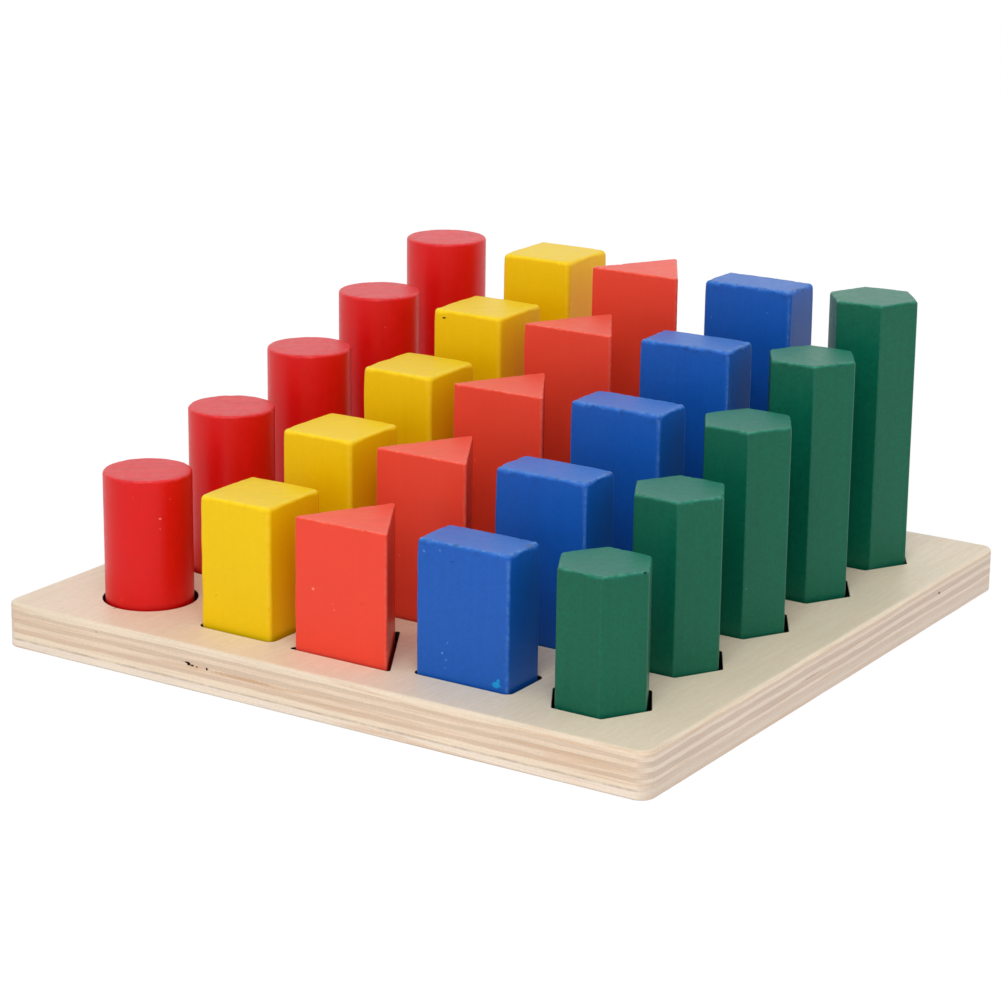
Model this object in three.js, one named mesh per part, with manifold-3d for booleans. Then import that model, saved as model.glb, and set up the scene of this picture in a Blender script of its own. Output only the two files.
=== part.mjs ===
// Sorting board with five columns of loose wooden blocks.
// Millimetres, +Z up. The origin is the centre of the underside.
// +X runs from the cylinders to the hexagons, +Y from the shortest row to the tallest.

import * as THREE from 'three';
import { mergeVertices } from 'three/addons/utils/BufferGeometryUtils.js';
import Module from 'manifold-3d';

const wasm = await Module();
wasm.setup();

// Board: plywood with the sockets cut right through it, closed below by a glued panel
const socketBoardThickness = 12;
const basePanelThickness = 3;
const boardCornerRadius = 5;
const boardEdgeRadius = 1.2;
const leftMargin = 22.4;
const rightMargin = 17.6;
const frontMargin = 15.3;
const backMargin = 21.7;

// Blocks: the outline of each kind, and the free width between the widest ones
const cylinderDiameter = 28.8;
const squareSide = 27.2;
const triangleSide = 35;
const rectangleLength = 33;
const rectangleWidth = 17.8;
const hexagonAcrossFlats = 27;
const columnGap = 7.5;
const rowGap = 12.9;

// Blocks: the heights of the five rows and the worn edges
const shortestBlockHeight = 54.8;
const blockHeightStep = 12;
const rowCount = 5;
const cylinderRimRadius = 1.2;
const squareCornerRadius = 1.2;
const rectangleCornerRadius = 1;
const triangleCornerRadius = 0.8;
const hexagonCornerRadius = 0.9;
const rimShare = 0.8;

// Play between a block and each wall of its socket
const roundClearance = 1;
const squareClearance = 1;
const triangleClearance = 0.9;
const rectangleClearance = 1;
const hexagonClearance = 1.2;

// Facets of the round forms, and how far a cutting solid runs past what it cuts
const roundFacets = 40;
const cornerFacets = 4;
const rimFacets = 3;
const cutOverrun = 4;

const boardThickness = basePanelThickness + socketBoardThickness;
const triangleHeight = triangleSide * Math.sin(Math.PI / 3);
const hexagonAcrossCorners = hexagonAcrossFlats / Math.cos(Math.PI / 6);

// Corners of the block outlines, anticlockwise about the middle of each block
function rectangleCorners(length, width) {
  return [
    new THREE.Vector2(-length / 2, -width / 2),
    new THREE.Vector2(length / 2, -width / 2),
    new THREE.Vector2(length / 2, width / 2),
    new THREE.Vector2(-length / 2, width / 2),
  ];
}

function triangleCorners(side, height) {
  return [
    new THREE.Vector2(-side / 2, -height / 2),
    new THREE.Vector2(side / 2, -height / 2),
    new THREE.Vector2(0, height / 2),
  ];
}

function hexagonCorners(acrossCorners) {
  const corners = [];
  for (let corner = 0; corner < 6; corner += 1) {
    const angle = (corner * Math.PI) / 3;
    corners.push(new THREE.Vector2(Math.cos(angle), Math.sin(angle)).multiplyScalar(acrossCorners / 2));
  }
  return corners;
}

// One kind of block per column, from left to right. A column stands a share of the pitch off
// the regular grid, and each block lies in its socket as it was dropped in: shares of the
// clearance across the row, along the column, and sideways at the outline's far end.
const kinds = [
  {
    name: 'cylinder_block',
    radius: cylinderDiameter / 2,
    width: cylinderDiameter,
    depth: cylinderDiameter,
    rimRadius: cylinderRimRadius,
    clearance: roundClearance,
    columnShares: [-0.028, 0.003],
    seatShares: [[-0.35, 0.1, 0], [0, 0.6, 0], [0.55, 0.3, 0], [0.2, -0.55, 0], [-0.5, -0.4, 0]],
    color: 0xd2302d,
    roughness: 0.52,
  },
  {
    name: 'square_block',
    corners: rectangleCorners(squareSide, squareSide),
    width: squareSide,
    depth: squareSide,
    cornerRadius: squareCornerRadius,
    rimRadius: rimShare * squareCornerRadius,
    clearance: squareClearance,
    columnShares: [0.042, 0.003],
    seatShares: [[-0.6, 0.25, 0], [-0.1, -0.4, -0.03], [0.5, 0.35, 0.08], [0, -0.2, 0.14], [0.35, 0.05, 0.19]],
    color: 0xe8c02f,
    roughness: 0.5,
  },
  {
    name: 'triangle_block',
    corners: triangleCorners(triangleSide, triangleHeight),
    width: triangleSide,
    depth: triangleHeight,
    cornerRadius: triangleCornerRadius,
    rimRadius: rimShare * triangleCornerRadius,
    clearance: triangleClearance,
    columnShares: [0.003, 0.018],
    seatShares: [[-0.2, -0.25, 0.2], [-0.1, -0.2, -0.03], [0.05, 0.2, 0.27], [-0.2, 0.1, 0.17], [0.35, 0, 0.06]],
    color: 0xe04b37,
    roughness: 0.52,
  },
  {
    name: 'rectangle_block',
    corners: rectangleCorners(rectangleLength, rectangleWidth),
    width: rectangleLength,
    depth: rectangleWidth,
    cornerRadius: rectangleCornerRadius,
    rimRadius: rimShare * rectangleCornerRadius,
    clearance: rectangleClearance,
    columnShares: [0.006, -0.055],
    seatShares: [[-0.2, -0.25, 0.06], [-0.15, -0.6, 0.03], [0.05, -0.1, 0.14], [0.2, 0, 0.6], [-0.05, 0.6, 0]],
    color: 0x2456a6,
    roughness: 0.55,
  },
  {
    name: 'hexagon_block',
    corners: hexagonCorners(hexagonAcrossCorners),
    width: hexagonAcrossCorners,
    depth: hexagonAcrossFlats,
    cornerRadius: hexagonCornerRadius,
    rimRadius: rimShare * hexagonCornerRadius,
    clearance: hexagonClearance,
    columnShares: [-0.013, 0.017],
    seatShares: [[0.15, -0.2, -0.65], [0.3, -0.25, -0.5], [0.05, -0.3, -0.2], [-0.4, 0.35, 0.05], [0, 0.1, 1.4]],
    color: 0x1d6a4c,
    roughness: 0.55,
  },
];

// The grid follows the widest and the deepest block, and the board follows the grid
const widestBlock = Math.max(...kinds.map((kind) => kind.width));
const deepestBlock = Math.max(...kinds.map((kind) => kind.depth));
const columnPitch = widestBlock + columnGap;
const rowPitch = deepestBlock + rowGap;
const leftInset = leftMargin + kinds[0].width / 2;
const rightInset = rightMargin + kinds[kinds.length - 1].width / 2;
const frontInset = frontMargin + deepestBlock / 2;
const backInset = backMargin + deepestBlock / 2;
const boardWidth = leftInset + (kinds.length - 1) * columnPitch + rightInset;
const boardDepth = frontInset + (rowCount - 1) * rowPitch + backInset;

function columnPlace(kind, column) {
  return leftInset - boardWidth / 2 + (column + kind.columnShares[0]) * columnPitch;
}

function rowPlace(kind, row) {
  return frontInset - boardDepth / 2 + (row + kind.columnShares[1]) * rowPitch;
}

// A convex outline with every side moved outwards by one distance and the corners left sharp
function grownCorners(corners, distance) {
  return corners.map((corner, index) => {
    const before = corners[(index + corners.length - 1) % corners.length];
    const after = corners[(index + 1) % corners.length];
    const arriving = corner.clone().sub(before).normalize();
    const leaving = after.clone().sub(corner).normalize();
    const outward = arriving.clone().sub(leaving).normalize();
    const halfAngleSine = Math.sqrt((1 + arriving.dot(leaving)) / 2);
    return corner.clone().addScaledVector(outward, distance / halfAngleSine);
  });
}

// A closed outline through the corners, each rounded by an arc tangent to both of its sides
function roundedOutline(corners, radius) {
  const shape = new THREE.Shape();
  const centres = grownCorners(corners, -radius);
  corners.forEach((corner, index) => {
    const before = corners[(index + corners.length - 1) % corners.length];
    const after = corners[(index + 1) % corners.length];
    const startAngle = corner.clone().sub(before).angle() - Math.PI / 2;
    const endAngle = after.clone().sub(corner).angle() - Math.PI / 2;
    shape.absarc(centres[index].x, centres[index].y, radius, startAngle, endAngle, false);
  });
  return shape;
}

// A prism that stands on z = 0, with its rims rounded inside its full size
function roundedPrism(corners, cornerRadius, rimRadius, height) {
  const geometry = new THREE.ExtrudeGeometry(roundedOutline(corners, cornerRadius), {
    depth: height - 2 * rimRadius,
    curveSegments: cornerFacets / 2,
    bevelEnabled: true,
    bevelThickness: rimRadius,
    bevelSize: rimRadius,
    bevelOffset: -rimRadius,
    bevelSegments: rimFacets,
  });
  return geometry.translate(0, 0, rimRadius);
}

// A cylinder that stands on z = 0: half its section, with rounded rims, turned about Z
function roundedCylinder(radius, rimRadius, height) {
  const section = new THREE.Path();
  section.moveTo(0, 0);
  section.lineTo(radius - rimRadius, 0);
  section.absarc(radius - rimRadius, rimRadius, rimRadius, -Math.PI / 2, 0, false);
  section.absarc(radius - rimRadius, height - rimRadius, rimRadius, 0, Math.PI / 2, false);
  section.lineTo(0, height);
  const geometry = new THREE.LatheGeometry(section.getPoints(rimFacets / 2), roundFacets);
  return geometry.rotateX(Math.PI / 2);
}

function blockGeometry(kind, height) {
  if (kind.radius) {
    return roundedCylinder(kind.radius, kind.rimRadius, height);
  }
  return roundedPrism(kind.corners, kind.cornerRadius, kind.rimRadius, height);
}

// The outline of a socket: the block's own outline with the clearance all round, corners sharp
function socketOutline(kind) {
  if (kind.radius) {
    return new THREE.Shape().absarc(0, 0, kind.radius + kind.clearance, 0, 2 * Math.PI, false);
  }
  return new THREE.Shape(grownCorners(kind.corners, kind.clearance));
}

// The cutting solid of one socket, from below the board's lower face to above its upper face
function socketCutter(kind) {
  const geometry = new THREE.ExtrudeGeometry(socketOutline(kind), {
    depth: socketBoardThickness + 2 * cutOverrun,
    curveSegments: roundFacets / 2,
    bevelEnabled: false,
  });
  return geometry.translate(0, 0, basePanelThickness - cutOverrun);
}

// A closed geometry as a solid for cutting, and a cut solid back as a geometry
function solidFrom(geometry) {
  const bare = geometry.clone();
  bare.deleteAttribute('normal');
  bare.deleteAttribute('uv');
  const merged = mergeVertices(bare);
  return new wasm.Manifold(new wasm.Mesh({
    numProp: 3,
    vertProperties: new Float32Array(merged.attributes.position.array),
    triVerts: new Uint32Array(merged.index.array),
  }));
}

function geometryFrom(solid) {
  const mesh = solid.getMesh();
  const geometry = new THREE.BufferGeometry();
  geometry.setAttribute('position', new THREE.BufferAttribute(mesh.vertProperties, 3));
  geometry.setIndex(new THREE.BufferAttribute(mesh.triVerts, 1));
  geometry.computeVertexNormals();
  return geometry;
}

// Everything between two heights, as wide as the board and a little more
function slabBetween(low, high) {
  const slab = new THREE.BoxGeometry(boardWidth + cutOverrun, boardDepth + cutOverrun, high - low);
  return solidFrom(slab.translate(0, 0, (low + high) / 2));
}

// Board and panel are glued and rounded together, so both are sliced from one rounded blank
const blank = solidFrom(roundedPrism(
  rectangleCorners(boardWidth, boardDepth),
  boardCornerRadius,
  boardEdgeRadius,
  boardThickness,
));

function socketBoardGeometry() {
  let board = blank.intersect(slabBetween(basePanelThickness, boardThickness + cutOverrun));
  kinds.forEach((kind, column) => {
    const cutter = socketCutter(kind);
    for (let row = 0; row < rowCount; row += 1) {
      const placed = cutter.clone().translate(columnPlace(kind, column), rowPlace(kind, row), 0);
      board = board.subtract(solidFrom(placed));
    }
  });
  return geometryFrom(board);
}

function basePanelGeometry() {
  return geometryFrom(blank.intersect(slabBetween(-cutOverrun, basePanelThickness)));
}

function namedMesh(name, geometry, color, roughness) {
  const material = new THREE.MeshStandardMaterial({ color, roughness, metalness: 0 });
  const mesh = new THREE.Mesh(geometry, material);
  mesh.name = name;
  return mesh;
}

function glueUp() {
  const group = new THREE.Group();
  group.add(namedMesh('socket_board', socketBoardGeometry(), 0xd8c3a3, 0.7));
  group.add(namedMesh('base_panel', basePanelGeometry(), 0xcfb697, 0.75));
  return group;
}

// One column of blocks, each standing on the panel in its socket, shortest at the front
function blockColumn(kind, column) {
  const group = new THREE.Group();
  group.position.set(columnPlace(kind, column), 0, basePanelThickness);
  for (let row = 0; row < rowCount; row += 1) {
    const height = shortestBlockHeight + row * blockHeightStep;
    const [acrossShare, alongShare, turnShare] = kind.seatShares[row];
    const name = `${kind.name}_${row + 1}`;
    const block = namedMesh(name, blockGeometry(kind, height), kind.color, kind.roughness);
    block.position.set(acrossShare * kind.clearance, rowPlace(kind, row) + alongShare * kind.clearance, 0);
    block.rotation.z = (turnShare * kind.clearance) / (kind.width / 2);
    group.add(block);
  }
  return group;
}

const sortingBoard = new THREE.Group();
sortingBoard.add(glueUp());
kinds.forEach((kind, column) => sortingBoard.add(blockColumn(kind, column)));

export default sortingBoard;
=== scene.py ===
# Sorting board: five columns of painted wooden blocks standing in the cut-outs of a plywood board.
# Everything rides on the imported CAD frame. The dictionaries are in millimetres, the meshes in metres.

import math

import bmesh
import bpy
import numpy as np
from mathutils import Matrix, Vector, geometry


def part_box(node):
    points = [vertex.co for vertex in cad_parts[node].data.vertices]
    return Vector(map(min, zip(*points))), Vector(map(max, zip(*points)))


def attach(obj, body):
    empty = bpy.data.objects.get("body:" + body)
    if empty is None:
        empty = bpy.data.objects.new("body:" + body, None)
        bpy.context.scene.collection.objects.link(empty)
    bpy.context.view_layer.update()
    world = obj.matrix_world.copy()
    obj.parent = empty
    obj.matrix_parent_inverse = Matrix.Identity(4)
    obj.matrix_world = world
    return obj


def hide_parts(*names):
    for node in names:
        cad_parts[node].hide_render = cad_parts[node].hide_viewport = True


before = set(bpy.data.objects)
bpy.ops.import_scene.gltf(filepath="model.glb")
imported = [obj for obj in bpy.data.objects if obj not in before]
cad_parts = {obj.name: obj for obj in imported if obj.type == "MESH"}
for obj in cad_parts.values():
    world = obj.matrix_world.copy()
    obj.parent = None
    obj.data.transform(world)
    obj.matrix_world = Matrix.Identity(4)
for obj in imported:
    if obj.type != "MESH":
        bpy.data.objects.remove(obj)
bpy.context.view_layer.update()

mm = 0.001
rowCount = 5
mergeDistance = 1e-7
outlineDigits = 7

scene = bpy.context.scene
scene.view_settings.view_transform = "Standard"


# Camera: fitted to the picture by the corners of the board and the blocks
camera = {
    "imageSize": 1001,
    "focalPixels": 3002.17,
    "centrePixel": (499.15, 453.88),
    "position": (511.14, -809.72, 321.98),
    "azimuth": 32.6577,
    "elevation": 15.5128,
    "roll": 0.6883,
    "sensorWidth": 36,
    "clipStart": 0.05,
}


def place(thing, right, up, back, position):
    placed = np.eye(4)
    placed[:3, :3] = np.column_stack([right, up, back])
    placed[:3, 3] = position
    thing.matrix_world = Matrix(placed.tolist())
    scene.collection.objects.link(thing)


def placeCamera():
    names = ("azimuth", "elevation", "roll")
    azimuth, elevation, roll = (math.radians(camera[name]) for name in names)
    back = np.array([
        math.sin(azimuth) * math.cos(elevation),
        -math.cos(azimuth) * math.cos(elevation),
        math.sin(elevation),
    ])
    levelRight = np.array([math.cos(azimuth), math.sin(azimuth), 0])
    levelUp = np.cross(back, levelRight)
    right = math.cos(roll) * levelRight + math.sin(roll) * levelUp
    up = math.cos(roll) * levelUp - math.sin(roll) * levelRight
    lensData = bpy.data.cameras.new("camera")
    size = camera["imageSize"]
    lensData.sensor_width = camera["sensorWidth"]
    lensData.lens = camera["focalPixels"] / size * camera["sensorWidth"]
    lensData.shift_x = (size / 2 - camera["centrePixel"][0]) / size
    lensData.shift_y = (camera["centrePixel"][1] - size / 2) / size
    lensData.clip_start = camera["clipStart"]
    lensObject = bpy.data.objects.new("camera", lensData)
    place(lensObject, right, up, back, np.array(camera["position"]) * mm)
    scene.camera = lensObject


placeCamera()
print("camera placed")


# Node helpers

def connect(tree, node, sockets):
    # Each input takes the other node's output, or the plain value, that it is given
    for key, value in sockets.items():
        if isinstance(value, bpy.types.NodeSocket):
            tree.links.new(value, node.inputs[key])
        else:
            node.inputs[key].default_value = value
    return node


def addNode(tree, kind, sockets=None, **settings):
    node = tree.nodes.new("ShaderNode" + kind)
    for name, value in settings.items():
        setattr(node, name, value)
    return connect(tree, node, sockets or {})


def linearColour(red, green, blue):
    # Shades as they are read off a screen, 0 to 255, to the linear values that a shader works with
    shades = np.array([red, green, blue]) / 255
    linear = np.where(shades <= 0.04045, shades / 12.92, ((shades + 0.055) / 1.055) ** 2.4)
    return (*linear.tolist(), 1)


def mixColours(tree, share, first, second, blendType="MIX"):
    # The node's inputs 6 and 7 and its output 2 are the ones for colours
    sockets = {0: share, 6: first, 7: second}
    return addNode(tree, "Mix", sockets, data_type="RGBA", blend_type=blendType).outputs[2]


def calculate(tree, operation, first, second=0.0, clamped=False):
    sockets = {0: first, 1: second}
    return addNode(tree, "Math", sockets, operation=operation, use_clamp=clamped).outputs[0]


def multiply(tree, first, second, clamped=False):
    return calculate(tree, "MULTIPLY", first, second, clamped)


def calculateVector(tree, operation, *vectors, output="Vector"):
    return addNode(tree, "VectorMath", dict(enumerate(vectors)), operation=operation).outputs[output]


def spread(tree, value, low, high, newLow=0.0, newHigh=1.0):
    sockets = {"Value": value, "From Min": low, "From Max": high, "To Min": newLow, "To Max": newHigh}
    return addNode(tree, "MapRange", sockets).outputs["Result"]


noiseRange = (0.3, 0.7)


def vary(tree, pattern, change, reach=noiseRange):
    # A shade about 1 that a pattern makes lighter and darker. Most of a noise lies in noiseRange.
    return spread(tree, pattern, *reach, 1 - change, 1 + change)


def objectPoint(tree, stretch=(1, 1, 1), turn=0):
    point = addNode(tree, "TexCoord").outputs["Object"]
    if turn:
        rotation = (0, 0, math.radians(turn))
        point = addNode(tree, "Mapping", {"Vector": point, "Rotation": rotation}).outputs["Vector"]
    return addNode(tree, "Mapping", {"Vector": point, "Scale": stretch}).outputs["Vector"]


def noise(tree, perMetre, detail, roughness, turn=0, output="Fac"):
    # perMetre is one number for an even noise, or three for one that is drawn out along an axis,
    # and turn is about Z in degrees. Every dictionary of noises gives its values in this order.
    stretched = isinstance(perMetre, tuple)
    point = objectPoint(tree, perMetre, turn) if stretched else objectPoint(tree)
    scale = 1.0 if stretched else perMetre
    sockets = {"Vector": point, "Scale": scale, "Detail": detail, "Roughness": roughness}
    return addNode(tree, "TexNoise", sockets).outputs[output]


def attribute(tree, name):
    return addNode(tree, "Attribute", attribute_name=name).outputs["Fac"]


def bump(tree, height, distance, before=None):
    sockets = {"Height": height, "Distance": distance * mm}
    if before is not None:
        sockets["Normal"] = before
    return addNode(tree, "Bump", sockets).outputs["Normal"]


def shadeBy(tree, colour, shade):
    grey = addNode(tree, "CombineColor", {"Red": shade, "Green": shade, "Blue": shade})
    return mixColours(tree, 1.0, colour, grey.outputs["Color"], "MULTIPLY")


markLook = {"ragged": (900, 3, 0.5), "raggedness": 1.8, "edge": (1.1, 0.8)}


def mark(middle, radii, colour, strength=1.0):
    # One blemish: its middle and half sizes in millimetres, its shade, and how much it covers
    return {"middle": middle, "radii": radii, "colour": colour, "strength": strength}


def addMarks(tree, colour, marks):
    # Each blemish is an ellipsoid about its middle, and noise makes its edge ragged. Also gives the
    # share of the shine that is left: none where a blemish covers.
    ragged = noise(tree, *markLook["ragged"], output="Color")
    wobble = calculateVector(tree, "SUBTRACT", ragged, (0.5, 0.5, 0.5))
    raggedness = (markLook["raggedness"],) * 3
    shine = 1.0
    for blemish in marks:
        middle = tuple(part * mm for part in blemish["middle"])
        scale = tuple(1 / (part * mm) for part in blemish["radii"])
        away = calculateVector(tree, "SUBTRACT", objectPoint(tree), middle)
        away = calculateVector(tree, "MULTIPLY", away, scale)
        away = calculateVector(tree, "MULTIPLY_ADD", wobble, raggedness, away)
        distance = calculateVector(tree, "LENGTH", away, output="Value")
        inside = spread(tree, distance, *markLook["edge"])
        share = multiply(tree, inside, blemish["strength"])
        colour = mixColours(tree, share, colour, linearColour(*blemish["colour"]))
        shine = multiply(tree, shine, calculate(tree, "SUBTRACT", 1.0, share))
    return colour, shine


def varyRoughness(tree, pattern, look):
    middle, change = look["roughness"], look["roughnessVariation"]
    return spread(tree, pattern, *noiseRange, middle - change, middle + change)


def newMaterial(name, colour):
    material = bpy.data.materials.new(name)
    material.use_nodes = True
    material.diffuse_color = colour
    tree = material.node_tree
    shader = tree.nodes["Principled BSDF"]
    return material, tree, shader


# Paints: the colour of the sides, of the sawn ends, painted lighter for the light on the tops, and of
# the worn edges with a painted highlight along the rims, then how much each kind of pattern changes
# the shade
paints = {
    "cylinder_block": {
        "slot": "red_paint",
        "sides": (214, 12, 10), "endsPaintedLighter": (228, 28, 38), "edges": (236, 84, 84),
        "grain": 0.016, "skin": 0.012, "mottle": 0.025, "endGrain": 1.0,
        "wearAndHighlight": 0.75, "nicks": 0.15, "gloss": 1.0,
        "marks": [
            mark((-73, -97.8, 45.3), (0.4, 0.4, 0.4), (244, 140, 138), 0.75),
            mark((-71.3, -94.7, 51.4), (0.35, 0.35, 0.35), (236, 100, 98), 0.4),
            mark((-73.1, -97.8, 42), (0.35, 0.35, 0.35), (236, 100, 98), 0.35),
        ],
    },
    "square_block": {
        "slot": "yellow_paint",
        "sides": (239, 196, 0), "endsPaintedLighter": (255, 216, 0), "edges": (255, 224, 76),
        "grain": 0.012, "skin": 0.01, "mottle": 0.014, "endGrain": 0.35,
        "wearAndHighlight": 0.8, "nicks": 0.12, "gloss": 0.6,
        "marks": [
            mark((-47.8, 26.2, 91.1), (0.75, 0.5, 0.4), (74, 70, 24)),
            mark((-26.3, -102.8, 25.3), (0.35, 0.6, 1.2), (196, 142, 0), 0.35),
            mark((-46.9, -102.8, 26.1), (0.5, 0.5, 0.35), (190, 140, 10), 0.35),
        ],
    },
    "triangle_block": {
        "slot": "orange_red_paint",
        "sides": (230, 66, 46), "endsPaintedLighter": (250, 82, 56), "edges": (250, 140, 120),
        "grain": 0.008, "skin": 0.01, "mottle": 0.012, "endGrain": 0.5,
        "wearAndHighlight": 0.85, "nicks": 0.15, "gloss": 0.85,
        "marks": [
            mark((-8.1, -104.3, 35.8), (0.45, 0.4, 0.4), (250, 160, 140), 0.6),
            mark((10.6, -104.1, 34.4), (1.3, 1.0, 0.7), (214, 66, 48), 0.25),
        ],
    },
    "rectangle_block": {
        "slot": "blue_paint",
        "sides": (14, 86, 178), "endsPaintedLighter": (28, 108, 202), "edges": (104, 150, 216),
        "grain": 0.025, "skin": 0.06, "mottle": 0.035, "endGrain": 0.3,
        "wearAndHighlight": 0.75, "nicks": 0.75, "gloss": 0.95,
        "marks": [
            mark((56.8, -101.1, 16.9), (1.5, 0.8, 0.9), (34, 150, 214), 0.9),
            mark((57.5, -101.1, 18.1), (0.6, 0.8, 0.9), (34, 150, 214), 0.9),
            mark((30.8, -101.2, 54.1), (0.5, 0.5, 0.45), (104, 152, 222), 0.5),
            mark((36.5, -101.2, 55.4), (0.35, 0.5, 0.4), (96, 146, 218), 0.5),
            mark((40.8, -101.2, 52.5), (0.7, 0.5, 0.3), (24, 66, 140), 0.5),
            mark((37.5, -101.2, 23.2), (0.4, 0.5, 0.45), (116, 160, 226), 0.5),
            mark((38.6, -101.2, 18.7), (0.3, 0.5, 0.35), (96, 146, 218), 0.5),
            mark((39.3, -101.2, 26.8), (0.3, 0.5, 0.35), (96, 146, 218), 0.5),
            mark((38.9, -101.2, 21.3), (0.35, 0.5, 0.3), (104, 152, 222), 0.5),
        ],
    },
    "hexagon_block": {
        "slot": "green_paint",
        "sides": (2, 92, 68), "endsPaintedLighter": (4, 118, 94), "edges": (84, 158, 134),
        "grain": 0.04, "skin": 0.1, "mottle": 0.045, "endGrain": 0.35,
        "wearAndHighlight": 0.65, "nicks": 0.4, "gloss": 0.9,
        "marks": [
            mark((101.2, -91.1, 57.6), (0.7, 0.7, 0.45), (0, 40, 40), 0.85),
        ],
    },
}
paintLook = {
    "sideSpecular": 0.28,
    "endSpecular": 0.36,
    "roughness": 0.38,
    "roughnessVariation": 0.05,
    "blockVariation": 0.03,
    "cloud": 0.022,
    "grainDepth": 0.014,
    "skinDepth": 0.016,
    "speckPerMetre": 190,
    "speckSize": 0.075,
    "speckCore": 0.4,
    "speckChosen": (0.80, 0.84),
    "speckStrength": 0.5,
    "endGrainDepth": 0.06,
    "endGrainVariation": 0.08,
    "endGrainReach": (0.35, 0.65),
    "wearAndHighlightReach": (0.44, 0.6),
    "leastWearAndHighlight": 0.2,
    "nickReach": (0.56, 0.62),
    "nickShade": 0.42,
    "nickDepth": 0.02,
}
paintNoises = {
    "grain": ((620, 620, 22), 3, 0.5),
    "mottle": (420, 4, 0.6),
    "cloud": (34, 2, 0.5),
    "skin": (1100, 2, 0.5),
    "endGrain": ((620, 60, 60), 3, 0.6, 50),
    "wearAndHighlight": (620, 4, 0.65),
    "nick": (460, 3, 0.6),
}


def makePaint(paint):
    look = paintLook
    sides, endsPaintedLighter, edges = (linearColour(*paint[part]) for part in ("sides", "endsPaintedLighter", "edges"))
    material, tree, shader = newMaterial(paint["slot"], sides)
    patterns = {name: noise(tree, *settings) for name, settings in paintNoises.items()}

    # Colour: sides and ends, the ends painted lighter for the light on the tops, then the shade of each
    # block, mottling and the sawn ends' streaks
    endShare = attribute(tree, "endShare")
    # Painted light: the ends' colour is lighter than the sides' to stand for the light falling on the
    # tops
    colour = mixColours(tree, endShare, sides, endsPaintedLighter)
    shade = vary(tree, attribute(tree, "blockTone"), look["blockVariation"], (0, 1))
    changes = {**paint, "cloud": look["cloud"]}
    for name in ("cloud", "mottle", "grain", "skin"):
        shade = multiply(tree, shade, vary(tree, patterns[name], changes[name]))
    change = look["endGrainVariation"] * paint["endGrain"]
    streaks = vary(tree, patterns["endGrain"], change, look["endGrainReach"])
    streaks = calculate(tree, "POWER", streaks, endShare)
    colour = shadeBy(tree, colour, multiply(tree, shade, streaks))

    # The worn edges with a painted highlight along the rims, the nicks beside them darkened with
    # painted shade, dust specks and single marks
    wearAndHighlightShare = spread(tree, patterns["wearAndHighlight"], *look["wearAndHighlightReach"], look["leastWearAndHighlight"], 1.0)
    wearAndHighlight = multiply(tree, attribute(tree, "rimWearAndHighlight"), paint["wearAndHighlight"])
    # Painted highlight and wear: rims and upright corners are mixed towards the lighter edge colour
    colour = mixColours(tree, multiply(tree, wearAndHighlight, wearAndHighlightShare, True), colour, edges)
    nick = spread(tree, patterns["nick"], *look["nickReach"], 0, paint["nicks"])
    nick = multiply(tree, nick, attribute(tree, "rimNear"))
    # Painted shade: the nicks are darkened as if shaded in their hollows
    colour = shadeBy(tree, colour, spread(tree, nick, 0, 1, 1, 1 - look["nickShade"]))
    sockets = {"Vector": objectPoint(tree), "Scale": look["speckPerMetre"]}
    cells = addNode(tree, "TexVoronoi", sockets, feature="F1")
    size = look["speckSize"]
    near = spread(tree, cells.outputs["Distance"], size, look["speckCore"] * size)
    chosen = addNode(tree, "SeparateColor", {"Color": cells.outputs["Color"]}).outputs["Red"]
    chosen = spread(tree, chosen, *look["speckChosen"])
    speck = multiply(tree, near, chosen, True)
    speckShare = multiply(tree, speck, look["speckStrength"])
    colour = mixColours(tree, speckShare, colour, edges)
    colour, shine = addMarks(tree, colour, paint["marks"])

    gloss = paint["gloss"]
    specular = (gloss * look["sideSpecular"], gloss * look["endSpecular"])
    specular = spread(tree, endShare, 0, 1, *specular)
    endHeight = multiply(tree, endShare, paint["endGrain"])
    endHeight = multiply(tree, patterns["endGrain"], endHeight)
    normal = bump(tree, patterns["grain"], look["grainDepth"])
    normal = bump(tree, patterns["skin"], look["skinDepth"], normal)
    normal = bump(tree, endHeight, look["endGrainDepth"], normal)
    normal = bump(tree, calculate(tree, "SUBTRACT", speck, nick), look["nickDepth"], normal)
    connect(tree, shader, {
        "Base Color": colour,
        "Specular IOR Level": multiply(tree, specular, shine),
        "Roughness": varyRoughness(tree, patterns["mottle"], look),
        "Normal": normal,
    })
    return material


# Mesh helpers

def gridFaces(rings, around, start=0, flipped=False):
    # Rings follow each other along the first axis and points run anticlockwise along the second. Each
    # face joins two neighbours of two neighbouring rings, and the last point's neighbour is the first.
    index = start + np.arange(rings * around).reshape(rings, around)
    index = np.concatenate([index, index[:, :1]], axis=1)
    corners = [index[:-1, :-1], index[:-1, 1:], index[1:, 1:], index[1:, :-1]]
    faces = np.stack(corners, axis=-1).reshape(-1, 4)
    return faces[:, ::-1] if flipped else faces


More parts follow.
